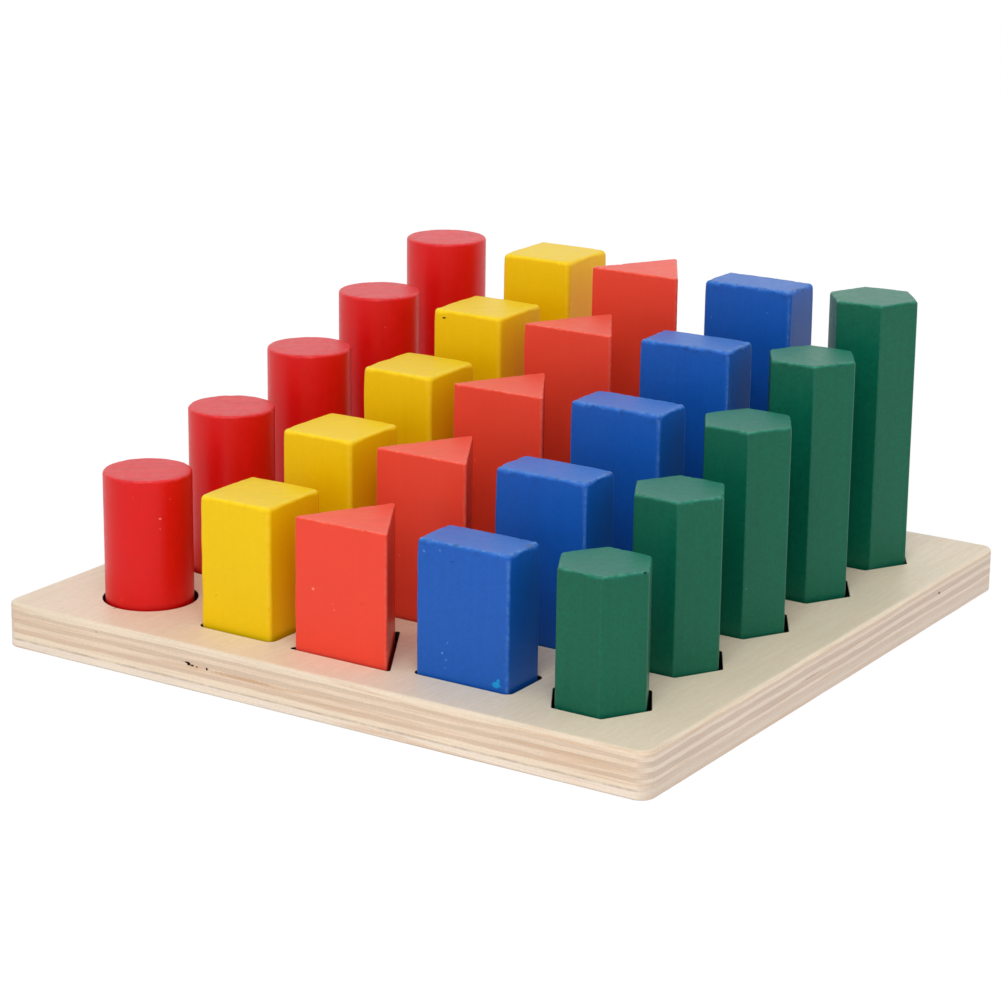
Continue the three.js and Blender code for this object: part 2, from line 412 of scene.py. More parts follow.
def meshFromFaces(name, points, faces, attributes, material, sharpAngle=None):
    # Points that lie on each other are merged, which closes the seams and the middles of end faces
    mesh = bpy.data.meshes.new(name)
    mesh.from_pydata(points, [], faces.tolist())
    for key, values in attributes.items():
        layer = mesh.attributes.new(key, "FLOAT", "POINT")
        layer.data.foreach_set("value", np.ascontiguousarray(values, np.float32).ravel())
    closed = bmesh.new()
    closed.from_mesh(mesh)
    bmesh.ops.remove_doubles(closed, verts=closed.verts, dist=mergeDistance)
    bmesh.ops.dissolve_degenerate(closed, edges=closed.edges, dist=mergeDistance / 10)
    closed.to_mesh(mesh)
    closed.free()
    mesh.polygons.foreach_set("use_smooth", np.ones(len(mesh.polygons), bool))
    if sharpAngle:
        mesh.set_sharp_from_angle(angle=math.radians(sharpAngle))
    mesh.materials.append(material)
    piece = bpy.data.objects.new(name, mesh)
    scene.collection.objects.link(piece)
    return piece


def cadPoints(nodeName):
    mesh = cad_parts[nodeName].data
    flat = np.empty(len(mesh.vertices) * 3)
    mesh.vertices.foreach_get("co", flat)
    return flat.reshape(-1, 3)


def crossed(first, second):
    return first[:, 0] * second[:, 1] - first[:, 1] * second[:, 0]


def sharpCorners(points, sideCount):
    # Seen from above, the longest sides of the outline, each run on until it meets the next
    seen = np.unique(np.round(points[:, :2], outlineDigits), axis=0)
    hull = seen[geometry.convex_hull_2d(seen.tolist())]
    sides = np.roll(hull, -1, axis=0) - hull
    longest = np.sort(np.argsort(np.hypot(*sides.T))[-sideCount:])
    start = hull[longest]
    along = sides[longest]
    nextStart = np.roll(start, -1, axis=0)
    nextAlong = np.roll(along, -1, axis=0)
    share = crossed(nextStart - start, nextAlong) / crossed(along, nextAlong)
    return start + share[:, None] * along


def boxCorners(low, high):
    return np.array([[low.x, low.y], [high.x, low.y], [high.x, high.y], [low.x, high.y]])


outlineReach = {"cornerShare": 0.5, "nearFrom": 1, "nearTo": 3, "evenFrom": 2.5}


def edgedSteps(gap, count):
    # Shares of the way along a side: one close to either end and count evenly between
    first = outlineReach["evenFrom"] * gap
    return np.concatenate([[gap], np.linspace(first, 1 - first, count), [1 - gap]])


def roundedOutline(corners, sideSteps, arcSteps, edgeGap=None):
    # A closed outline for any corner radius r and inset d: point = anchor + r * reach - d * normal.
    # Round a corner the normal turns from one side's to the next, and reach is the normal less the
    # way from the arc's centre to the corner. Along a side anchor and reach go evenly between its
    # ends. cornerShare is 1 round a corner and falls off beside it, cornerNear falls off later and
    # slower, and cornerMiddle is 1 in the middle of a corner's arc and 0 at its ends.
    count = len(corners)
    along = np.roll(corners, -1, axis=0) - corners
    lengths = np.hypot(*along.T)
    leaving = np.column_stack([along[:, 1], -along[:, 0]]) / lengths[:, None]
    arriving = np.roll(leaving, 1, axis=0)
    inward = -(arriving + leaving) / (1 + np.sum(arriving * leaving, axis=1))[:, None]
    arc = np.linspace(0, 1, arcSteps + 1)
    names = ("anchor", "reach", "normal", "cornerShare", "cornerMiddle", "cornerNear")
    outline = {name: [] for name in names}

    def add(*values):
        for name, value in zip(names, values):
            outline[name].append(value)

    for corner in range(count):
        following = (corner + 1) % count
        startAngle = math.atan2(arriving[corner, 1], arriving[corner, 0])
        turn = math.acos(np.clip(arriving[corner] @ leaving[corner], -1, 1))
        angles = startAngle + turn * arc
        normal = np.column_stack([np.cos(angles), np.sin(angles)])
        anchor = np.repeat(corners[corner:corner + 1], arcSteps + 1, axis=0)
        middle = np.sin(math.pi * arc) ** 2
        add(anchor, inward[corner] + normal, normal, np.ones_like(arc), middle, np.ones_like(arc))

        share = np.linspace(0, 1, sideSteps[corner] + 1)[1:-1]
        if edgeGap:
            share = edgedSteps(edgeGap / lengths[corner], sideSteps[corner] - 3)
        fromEnds = np.minimum(share, 1 - share) * lengths[corner]
        beside = np.maximum(fromEnds - outlineReach["nearFrom"] * mm, 0)
        share = share[:, None]
        start = inward[corner] + leaving[corner]
        end = inward[following] + leaving[corner]
        add(
            (1 - share) * corners[corner] + share * corners[following],
            (1 - share) * start + share * end,
            np.repeat(leaving[corner:corner + 1], len(share), axis=0),
            np.exp(-(fromEnds / (outlineReach["cornerShare"] * mm)) ** 2),
            np.zeros(len(share)),
            np.exp(-(beside / (outlineReach["nearTo"] * mm)) ** 2),
        )
    outline = {name: np.concatenate(values) for name, values in outline.items()}
    return {**outline, "middle": corners.mean(axis=0)}


def roundOutline(middle, steps):
    # The same for a circle: its corner radius is the radius of the circle
    angles = np.linspace(0, 2 * math.pi, steps, endpoint=False)
    normal = np.column_stack([np.cos(angles), np.sin(angles)])
    middle = np.array(middle)
    anchor = np.repeat(middle[None, :], steps, axis=0)
    cornerless = dict.fromkeys(("cornerShare", "cornerMiddle", "cornerNear"), np.zeros(steps))
    return {"anchor": anchor, "reach": normal, "normal": normal, "middle": middle, **cornerless}


def surfacePoints(outline, radius, inset, height, toMiddle):
    # Point = anchor + radius * reach - inset * normal, then a share of the way to the middle
    plan = outline["anchor"] + radius[..., None] * outline["reach"]
    plan = plan - inset[..., None] * outline["normal"]
    plan = plan + toMiddle[..., None] * (outline["middle"] - plan)
    return np.concatenate([plan, height[..., None]], axis=-1)


def wave(rng, share, slowest, fastest, count=9):
    # A smooth wobble that closes on itself: sines of whole numbers of turns with chance phases
    turns = rng.integers(slowest, fastest + 1, count)
    phases = rng.uniform(0, 2 * math.pi, count)
    angles = 2 * math.pi * np.multiply.outer(share, turns) + phases
    return np.sin(angles).sum(axis=-1) / math.sqrt(count)


# Blocks: what the picture adds to the CAD outline, by kind. cornerEase is how much rounder rims and
# corners are where they meet, mouthRadius the cut-out's corner radius.
blockKinds = {
    "cylinder_block": {
        "sideCount": 0, "rimRadius": 0.9, "cornerRadius": None, "chips": 12,
        "cornerWearAndHighlight": 0, "cornerEase": 0, "mouthRadius": None,
    },
    "square_block": {
        "sideCount": 4, "rimRadius": 1.1, "cornerRadius": 1.5, "chips": 10,
        "cornerWearAndHighlight": 0.35, "cornerEase": 0.4, "mouthRadius": 2.6,
    },
    "triangle_block": {
        "sideCount": 3, "rimRadius": 0.55, "cornerRadius": 0.8, "chips": 26,
        "cornerWearAndHighlight": 0.3, "cornerEase": 0.2, "mouthRadius": 0.8,
    },
    "rectangle_block": {
        "sideCount": 4, "rimRadius": 0.95, "cornerRadius": 1.2, "chips": 40,
        "cornerWearAndHighlight": 0.45, "cornerEase": 0.45, "mouthRadius": 2.4,
    },
    "hexagon_block": {
        "sideCount": 6, "rimRadius": 0.68, "cornerRadius": 0.95, "chips": 26,
        "cornerWearAndHighlight": 0.12, "cornerEase": 0.5, "mouthRadius": 1.0,
    },
}
blockMesh = {
    "stepAround": 0.75,
    "stepUp": 1.7,
    "leastSideSteps": 6,
    "arcSteps": 6,
    "rimSteps": 7,
    "faceSteps": 12,
    "faceCrowding": 0.8,
    "edgeGap": 0.35,
    "rimVariation": 0.12,
    "rimTurns": (2, 14),
    "rimLimit": 0.97,
    "cornerVariation": 0.08,
    "cornerTurns": (1, 5, 5),
    "cornerLimit": 1.03,
    "hollow": 0.05,
    "hollowTurnsUp": (1, 3, 4),
    "hollowTurnsAround": (1, 5, 5),
    "chipWidth": (0.4, 1.3),
    "chipDepth": (0.06, 0.38),
    "wearAndHighlightAngle": 62,
    "wearAndHighlightSpread": 22,
    "nickReach": 0.9,
    "easeReach": 3,
}


def blockOutline(name, kind):
    low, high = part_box(name)
    step = blockMesh["stepAround"] * mm
    if not kind["sideCount"]:
        radius = (high.x - low.x) / 2
        steps = round(2 * math.pi * radius / step)
        return roundOutline([(low.x + high.x) / 2, (low.y + high.y) / 2], steps), radius
    corners = sharpCorners(cadPoints(name), kind["sideCount"])
    lengths = np.hypot(*(np.roll(corners, -1, axis=0) - corners).T)
    sideSteps = [max(blockMesh["leastSideSteps"], round(length / step)) for length in lengths]
    gap = blockMesh["edgeGap"] * mm
    return roundedOutline(corners, sideSteps, blockMesh["arcSteps"], gap), kind["cornerRadius"] * mm


def rimRadii(outline, radius, kind, chips, rng):
    # The rim's radius along the outline: it wobbles, grows towards the corners and is larger where a
    # chip is missing. No chip sits on a corner, whose rim has to stay inside its own radius.
    count = len(outline["anchor"])
    share = np.arange(count) / count
    rounded = outline["cornerShare"]
    ease = kind["cornerEase"]
    wobble = wave(rng, share, *blockMesh["rimTurns"])
    radii = kind["rimRadius"] * mm * (1 + blockMesh["rimVariation"] * wobble)
    radii = radii * (1 + ease * outline["cornerNear"])
    places = rng.uniform(0, 1, chips)
    around = blockMesh["stepAround"] * mm * count
    widths = rng.uniform(*blockMesh["chipWidth"], chips) * mm / around
    depths = rng.uniform(*blockMesh["chipDepth"], chips) * mm
    apart = np.abs((share[:, None] - places + 0.5) % 1 - 0.5)
    missing = (depths * np.exp(-(apart / widths) ** 2)).sum(axis=1)
    radii = radii + (1 - rounded) * missing
    most = blockMesh["rimLimit"] * radius * (1 + ease)
    return np.where(rounded == 1, np.minimum(radii, most), radii)


def blockSurface(outline, radius, kind, low, high, rng):
    # Ring by ring from the middle of the foot to the middle of the top. On the faces a ring is the
    # rim drawn to the middle, on the rims inset and height follow a quarter circle, and on the
    # sides the inset is a faint hollow. The upright corners' radius grows towards foot and top.
    share = np.arange(len(outline["anchor"])) / len(outline["anchor"])
    footRim = rimRadii(outline, radius, kind, kind["chips"] // 2, rng)
    topRim = rimRadii(outline, radius, kind, kind["chips"], rng)
    quarter = np.linspace(0, math.pi / 2, blockMesh["rimSteps"] + 1)[:, None] + 0 * share
    face = np.linspace(0, 1, blockMesh["faceSteps"] + 1)[1:, None] ** blockMesh["faceCrowding"]
    face = face + 0 * share
    sideSteps = round((high - low) / (blockMesh["stepUp"] * mm))
    side = edgedSteps(blockMesh["edgeGap"] * mm / (high - low), sideSteps)[:, None] + 0 * share
    footFace = face[::-1]
    footQuarter = quarter[::-1]

    # Each part of the profile, from foot to top: face, rim, side, rim, face
    inset = np.concatenate([
        footRim + 0 * footFace,
        footRim * (1 - np.cos(footQuarter)),
        0 * side,
        topRim * (1 - np.cos(quarter)),
        topRim + 0 * face,
    ])
    height = np.concatenate([
        low + 0 * footFace,
        low + footRim * (1 - np.sin(footQuarter)),
        low + footRim + side * (high - topRim - low - footRim),
        high - topRim * (1 - np.sin(quarter)),
        high + 0 * face,
    ])
    toMiddle = np.concatenate([footFace, 0 * quarter, 0 * side, 0 * quarter, face])

    up = (height - low) / (high - low)
    cornered = blockMesh["cornerVariation"] * (kind["sideCount"] > 0)
    cornerRadius = radius * (1 + cornered * wave(rng, up, *blockMesh["cornerTurns"]))
    fromEnd = np.minimum(height - low, high - height) / (blockMesh["easeReach"] * mm)
    cornerRadius = cornerRadius * (1 + kind["cornerEase"] * np.exp(-fromEnd ** 2))
    cornerRadius = np.maximum(cornerRadius, inset * blockMesh["cornerLimit"])
    hollow = wave(rng, up, *blockMesh["hollowTurnsUp"])
    hollow = 0.5 + 0.5 * hollow * wave(rng, share + 0 * up, *blockMesh["hollowTurnsAround"])
    hollow = blockMesh["hollow"] * mm * np.clip(hollow, 0, 1)
    inset = inset + hollow * (1 - outline["cornerShare"])
    points = surfacePoints(outline, cornerRadius, inset, height, toMiddle)

    # Wear and a painted highlight make one narrow line round each rim and fainter up the corners, nicks
    # lie to either side of it
    fromLine = (np.degrees(quarter) - blockMesh["wearAndHighlightAngle"]) / blockMesh["wearAndHighlightSpread"]
    rimWearAndHighlightLine = np.exp(-fromLine ** 2)
    cornerWearAndHighlightLine = kind["cornerWearAndHighlight"] * outline["cornerMiddle"] + 0 * side
    wearAndHighlightShare = np.concatenate([0 * face, rimWearAndHighlightLine[::-1], cornerWearAndHighlightLine, rimWearAndHighlightLine, 0 * face])
    across = np.hypot(*(outline["anchor"] + radius * outline["reach"] - outline["middle"]).T)
    fromRim = np.concatenate([
        footFace * across,
        0 * quarter,
        np.minimum(side, 1 - side) * (high - low),
        0 * quarter,
        face * across,
    ])
    onRim = np.sin(quarter)
    endShare = np.concatenate([0 * face + 1, onRim[::-1], 0 * side, onRim, 0 * face + 1])
    near = np.exp(-(fromRim / (blockMesh["nickReach"] * mm)) ** 2)
    return points, {"rimWearAndHighlight": wearAndHighlightShare, "rimNear": near, "endShare": endShare}


def makeBlock(kindName, row, material, rng):
    kind = blockKinds[kindName]
    name = f"{kindName}_{row}"
    low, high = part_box(name)
    outline, radius = blockOutline(name, kind)
    points, layers = blockSurface(outline, radius, kind, low.z, high.z, rng)
    layers["blockTone"] = np.full(points.shape[:2], rng.uniform(0, 1))
    faces = gridFaces(*points.shape[:2])
    piece = meshFromFaces("painted_" + name, points.reshape(-1, 3), faces, layers, material)
    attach(piece, name + "_body")
    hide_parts(name)
    return piece


for column, kindName in enumerate(blockKinds):
    paintMaterial = makePaint(paints[kindName])
    for row in range(1, rowCount + 1):
        blockRandom = np.random.default_rng(100 * (column + 1) + row)
        block = makeBlock(kindName, row, paintMaterial, blockRandom)
    print(kindName, "made,", len(block.data.polygons), "faces on the tallest")


# Board: seven plies on a thinner panel, its cut-outs burnt through, its edge sanded round
board = {
    "edgeRadius": 1.2,
    "edgeVariation": 0.1,
    "edgeTurns": (3, 40, 12),
    "cornerRadius": 5,
    "mouthEase": 0.12,
    "mouthChar": 0.55,
    "charReach": 0.35,
    "cellSideSteps": 24,
    "arcSteps": 16,
    "mouthArcSteps": 6,
    "wallSteps": 5,
    "topSteps": 5,
    "topFrom": 0.12,
    "edgeSteps": 7,
    "sideSteps": 30,
    "marginShares": (0, 0.35, 0.7, 0.92),
    "underShares": (0.5, 1),
    "plyRelief": 0.04,
    "reliefHollows": 3,
    "sharpAngle": 38,
    "mouthRoom": 4,
    "levelWithin": 0.01,
}
plywoodLook = {
    "top": (245, 230, 205),
    "topStreak": (239, 221, 194),
    "char": (20, 14, 11),
    "roughness": 0.46,
    "roughnessVariation": 0.06,
    "specular": 0.55,
    "streakReach": (0.35, 0.75),
    "fibre": 0.042,
    "cloud": 0.025,
    "stain": 0.5,
    "stainReach": (0.54, 0.7),
    "leastChar": 0.75,
    "charEdge": (0.1, 0.7),
    "streakDepth": 0.007,
    "fibreDepth": 0.01,
    "marks": [
        mark((-24.5, -120.1, 8.1), (12, 0.8, 0.55), (196, 160, 124), 0.7),
        mark((-41, -120.1, 8.5), (5, 0.8, 0.5), (206, 172, 146), 0.6),
        mark((-45, -120.1, 9.1), (1.7, 0.6, 0.28), (34, 12, 4)),
        mark((-44.4, -120.1, 8.7), (0.8, 0.6, 0.5), (40, 16, 6)),
        mark((-43.1, -120.1, 8.5), (0.7, 0.6, 0.3), (66, 36, 20)),
        mark((-41.3, -120.1, 8.4), (0.4, 0.6, 0.25), (84, 50, 30)),
        mark((-37.4, -120.1, 8.4), (0.45, 0.6, 0.5), (56, 26, 14)),
        mark((-81.7, -120.1, 11.9), (0.4, 0.5, 0.25), (140, 120, 100), 0.6),
        mark((120, 74.1, 10.4), (0.6, 0.6, 0.45), (64, 54, 46)),
        mark((120, -18.5, 8.4), (0.6, 7, 0.3), (186, 148, 120), 0.6),
        mark((-86, -104.3, 15), (0.5, 2.2, 0.4), (176, 134, 100), 0.8),
    ],
}


def linesBetween(middles):
    # Evenly spaced lines, halfway between middles that are about evenly spaced, and beyond the ends
    pitch = (middles[-1] - middles[0]) / (len(middles) - 1)
    return middles[0] + pitch * (np.arange(len(middles) + 1) - 0.5)


def socketGrid():
    # The cut-outs' outlines as the CAD has them, and the lines halfway between their middles
    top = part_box("socket_board")[1].z
    points = cadPoints("socket_board")
    points = points[np.abs(points[:, 2] - top) < board["levelWithin"] * mm]
    sockets = {}
    for column, kindName in enumerate(blockKinds):
        for row in range(rowCount):
            low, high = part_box(f"{kindName}_{row + 1}")
            middle = np.array([(low.x + high.x) / 2, (low.y + high.y) / 2])
            reach = np.array([high.x - low.x, high.y - low.y]) / 2 + board["mouthRoom"] * mm
            near = points[np.all(np.abs(points[:, :2] - middle) < reach, axis=1)]
            least, most = near[:, :2].min(axis=0), near[:, :2].max(axis=0)
            corners = None
            radius = (most[0] - least[0]) / 2
            if blockKinds[kindName]["sideCount"]:
                corners = sharpCorners(near, blockKinds[kindName]["sideCount"])
                radius = blockKinds[kindName]["mouthRadius"] * mm
            sockets[column, row] = {"corners": corners, "centre": (least + most) / 2, "radius": radius}
    centres = np.array([socket["centre"] for socket in sockets.values()])
    centres = centres.reshape(len(blockKinds), rowCount, 2)
    columnLines = linesBetween(centres[:, :, 0].mean(axis=1))
    rowLines = linesBetween(centres[:, :, 1].mean(axis=0))
    return sockets, columnLines, rowLines


def rectangleRing(low, high, steps):
    # Points round a rectangle, anticlockwise from its lowest corner, the same number on each side
    share = np.arange(steps) / steps
    zero, one = np.zeros(steps), np.ones(steps)
    across = low[0] + np.concatenate([share, one, 1 - share, zero]) * (high[0] - low[0])
    along = low[1] + np.concatenate([zero, share, one, 1 - share]) * (high[1] - low[1])
    return np.column_stack([across, along])


def socketRing(socket, border):
    # For each point of the border one point of the cut-out. A round one takes the point at the same
    # angle. A cornered one puts the middle of each corner's arc at the border point nearest in angle,
    # and goes evenly between.
    if socket["corners"] is None:
        fromCentre = border - socket["centre"]
        direction = fromCentre / np.hypot(*fromCentre.T)[:, None]
        return socket["centre"] + socket["radius"] * direction
    middle = socket["corners"].mean(axis=0)
    fromMiddle = border - middle
    angles = np.arctan2(fromMiddle[:, 1], fromMiddle[:, 0])
    corner = socket["corners"] - middle
    cornerAngles = np.arctan2(corner[:, 1], corner[:, 0])
    turned = np.abs((angles[:, None] - cornerAngles + math.pi) % (2 * math.pi) - math.pi)
    knots = np.argmin(turned, axis=0)
    order = np.argsort(knots)
    knots = knots[order]
    arcSteps = board["mouthArcSteps"]
    sideSteps = np.diff(np.append(knots, knots[0] + len(border))) - arcSteps
    outline = roundedOutline(socket["corners"][order], sideSteps, arcSteps)
    ring = outline["anchor"] + socket["radius"] * outline["reach"]
    return np.roll(ring, knots[0] - arcSteps // 2, axis=0)


def boardCell(socket, low, high, bottom, top):
    # From the cell's border under the board in to the cut-out, up its wall, over the mouth and out
    # to the border on top. The rings between are straight mixtures of the two outlines.
    border = rectangleRing(low, high, board["cellSideSteps"])
    inner = socketRing(socket, border)
    ease = board["mouthEase"] * mm
    gap = np.hypot(*(border - inner).T)[:, None]
    wall = np.linspace(bottom, top - ease, board["wallSteps"] + 1)
    outShares = [ease / gap, board["charReach"] * mm / gap]
    outShares += list(np.linspace(board["topFrom"], 1, board["topSteps"]))
    onTop = [inner + share * (border - inner) for share in outShares]
    plan = np.stack([border] + [inner] * len(wall) + onTop)
    height = np.array([bottom, *wall] + [top] * len(onTop))
    char = np.array([0] + [1] * len(wall) + [board["mouthChar"]] + [0] * (len(onTop) - 1))
    level = np.zeros(plan.shape[:2])
    points = np.concatenate([plan, (height[:, None] + level)[..., None]], axis=-1)
    return points, char[:, None] + level


def sandedEdge(radius, count, rng):
    share = np.arange(count) / count
    return radius * mm * (1 + board["edgeVariation"] * wave(rng, share, *board["edgeTurns"]))


def boardRim(columnLines, rowLines, bottom, top, rng):
    # From the grid's border on top out to the rounded outline, round the sanded edge, down the plies
    # and back under the board. Point = anchor + radius * reach - inset * normal at each height. The
    # plies' end grain stands back a little, in smooth hollows.
    perSide = board["cellSideSteps"] * rowCount
    arcSteps = board["arcSteps"]
    outline = roundedOutline(boxCorners(*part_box("socket_board")), [perSide - arcSteps] * 4, arcSteps)
    gridLow = (columnLines[0], rowLines[0])
    gridHigh = (columnLines[-1], rowLines[-1])
    border = np.roll(rectangleRing(gridLow, gridHigh, perSide), arcSteps // 2, axis=0)
    edge = sandedEdge(board["edgeRadius"], len(border), rng)
    quarter = np.linspace(0, math.pi / 2, board["edgeSteps"] + 1)[:, None] + 0 * edge
    down = np.linspace(0, 1, board["sideSteps"] + 1)[1:, None] + 0 * edge
    relief = 0.5 - 0.5 * np.cos(2 * math.pi * board["reliefHollows"] * down)
    inset = np.concatenate([edge * (1 - np.sin(quarter)), board["plyRelief"] * mm * relief])
    side = outline["anchor"] + board["cornerRadius"] * mm * outline["reach"]
    side = side - inset[..., None] * outline["normal"]
    margin = np.array(board["marginShares"])[:, None, None]
    under = np.array(board["underShares"])[:, None, None]
    plan = np.concatenate([
        border + margin * (side[:1] - border),
        side,
        side[-1:] + under * (border - side[-1:]),
    ])
    flatTop = np.zeros((len(margin), len(border)))
    flatUnder = np.zeros((len(under), len(border)))
    height = np.concatenate([
        top + flatTop,
        top - edge * (1 - np.cos(quarter)),
        (top - edge) + down * (bottom - top + edge),
        bottom + flatUnder,
    ])
    points = np.concatenate([plan, height[..., None]], axis=-1)
    sideShare = np.abs(outline["normal"][:, 0]) + 0 * height
    edgeShare = np.concatenate([flatTop, np.sin(quarter), 0 * down + 1, flatUnder])
    return points, sideShare, edgeShare


def makeBoard(material, rng):
    low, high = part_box("socket_board")
    sockets, columnLines, rowLines = socketGrid()
    parts = []
    for (column, row), socket in sockets.items():
        cellLow = (columnLines[column], rowLines[row])
        cellHigh = (columnLines[column + 1], rowLines[row + 1])
        cell, char = boardCell(socket, cellLow, cellHigh, low.z, high.z)
        parts.append((cell, char, 0 * char, 0 * char))
    rim, sideShare, edgeShare = boardRim(columnLines, rowLines, low.z, high.z, rng)
    parts.append((rim, 0 * sideShare, sideShare, edgeShare))
    faces = []
    start = 0
    for part in parts:
        faces.append(gridFaces(*part[1].shape, start, True))
        start += part[1].size
    points = np.concatenate([part[0].reshape(-1, 3) for part in parts])
    layers = {
        name: np.concatenate([part[index].ravel() for part in parts])
        for index, name in enumerate(("charShare", "sideShare", "edgeShare"), 1)
    }
    faces = np.concatenate(faces)
    piece = meshFromFaces("plywood_board", points, faces, layers, material, board["sharpAngle"])
    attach(piece, "board")
    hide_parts("socket_board")
    return piece


panel = {
    "cornerRadius": 5,
    "edgeRadius": 0.6,
    "sideSteps": 100,
    "arcSteps": 14,
    "faceSteps": 10,
    "ringRise": 0.4,
}


def makePanel(material, rng):
    # The same kind of surface as the blocks: out along the underside, round its edge, up its side by
    # one ring a little above the middle, and in on top
    low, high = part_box("base_panel")
    sideSteps = [panel["sideSteps"]] * 4
    outline = roundedOutline(boxCorners(low, high), sideSteps, panel["arcSteps"])
    edge = sandedEdge(panel["edgeRadius"], len(outline["anchor"]), rng)
    quarter = np.linspace(math.pi / 2, 0, board["edgeSteps"] + 1)[:, None] + 0 * edge
    face = np.linspace(0, 1, panel["faceSteps"] + 1)[1:, None] + 0 * edge
    side = np.array([(low.z + high.z) / 2 + panel["ringRise"] * mm, high.z])[:, None] + 0 * edge
    inset = np.concatenate([edge + 0 * face, edge * (1 - np.cos(quarter)), 0 * side, 0 * face])
    height = np.concatenate([
        low.z + 0 * face,
        low.z + edge * (1 - np.sin(quarter)),
        side,
        high.z + 0 * face,
    ])
    toMiddle = np.concatenate([face[::-1], 0 * quarter, 0 * side, face])
    radius = panel["cornerRadius"] * mm + 0 * height
    points = surfacePoints(outline, radius, inset, height, toMiddle).reshape(-1, 3)
    layers = {
        "sideShare": np.abs(outline["normal"][:, 0]) + 0 * height,
        "edgeShare": 1.0 * (toMiddle == 0),
    }
    faces = gridFaces(*height.shape)
    piece = meshFromFaces("plywood_panel", points, faces, layers, material, board["sharpAngle"])
    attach(piece, "board")
    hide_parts("base_panel")
    return piece


# Plies from the top down, as shares of the whole thickness: where one starts and its shade
frontPlies = [
    (0.0, "pale"), (0.15, "rose"), (0.237, "sallow"), (0.325, "grey"), (0.432, "sallow"),
    (0.55, "tan"), (0.657, "pale"), (0.82, "cream"),
]
sidePlies = [
    (0.0, "pale"), (0.06, "rose"), (0.138, "light"), (0.212, "dusk"), (0.337, "light"),
    (0.438, "dusk"), (0.575, "light"), (0.645, "blush"), (0.787, "ash"), (0.89, "blush"),
]
plyShades = {
    "pale": (232, 213, 189),
    "sallow": (226, 203, 179),
    "rose": (214, 191, 168),
    "grey": (211, 187, 163),
    "tan": (213, 187, 162),
    "cream": (233, 217, 200),
    "light": (225, 207, 189),
    "dusk": (204, 182, 164),
    "blush": (211, 191, 173),
    "ash": (216, 199, 182),
    # The glue shade is also the colour of the painted contact shadow along the front's lower edge
    "glue": (150, 136, 122),
    "streak": (204, 162, 122),
}
plyLook = {
    "jointBlur": 0.009,
    "slowWander": 0.3,
    "fastWander": 0.17,
    "sideFrom": (0.15, 0.85),
    "streakVariation": 0.07,
    "dotVariation": 0.035,
    "fineReach": (0.36, 0.64),
    "glueDepth": 0.8,
    "glueWander": 0.008,
    "glueShare": (0.2, 0.62),
    "glueBreaks": (0.36, 0.62),
    "glueWidth": 0.034,
    "glueCore": 0.2,
    "contactShadowDepth": 0.95,
    "contactShadowShare": 0.6,
    "edgeFrom": (0.2, 0.8),
}
plywoodNoises = {
    "streaks": ((760, 46, 760), 4, 0.6),
    "fibre": ((1500, 480, 1500), 3, 0.6),
    "cloud": ((26, 9, 26), 3, 0.5),
    "slow": ((16, 16, 60), 2, 0.5),
    "fast": ((110, 110, 700), 4, 0.65),
    "long": ((34, 34, 2600), 4, 0.65),
    "dots": ((900, 900, 1300), 3, 0.6),
    "stain": ((22, 22, 520), 3, 0.6),
    "breaks": ((220, 220, 500), 3, 0.65),
    "char": (700, 3, 0.5),
}


def plyRamp(tree, value, plies):
    # The plies' shades one under the other, with narrow soft joints
    ramp = addNode(tree, "ValToRGB", {"Fac": value})
    elements = ramp.color_ramp.elements
    blur = plyLook["jointBlur"]
    stops = [(0.0, plies[0][1])]
    for (start, shade), (_, before) in zip(plies[1:], plies[:-1]):
        stops += [(start - blur, before), (start + blur, shade)]
    for position, _ in stops[2:]:
        elements.new(position)
    for element, (position, shade) in zip(elements, stops):
        element.position = position
        element.color = linearColour(*plyShades[shade])
    return ramp.outputs["Color"]


def faceWood(tree, patterns):
    # Fine streaks along the grain and short darker pores
    look = plywoodLook
    streaks = spread(tree, patterns["streaks"], *look["streakReach"])
    colours = (linearColour(*look["top"]), linearColour(*look["topStreak"]))
    colour = mixColours(tree, streaks, *colours)
    return shadeBy(tree, colour, vary(tree, patterns["fibre"], look["fibre"]))


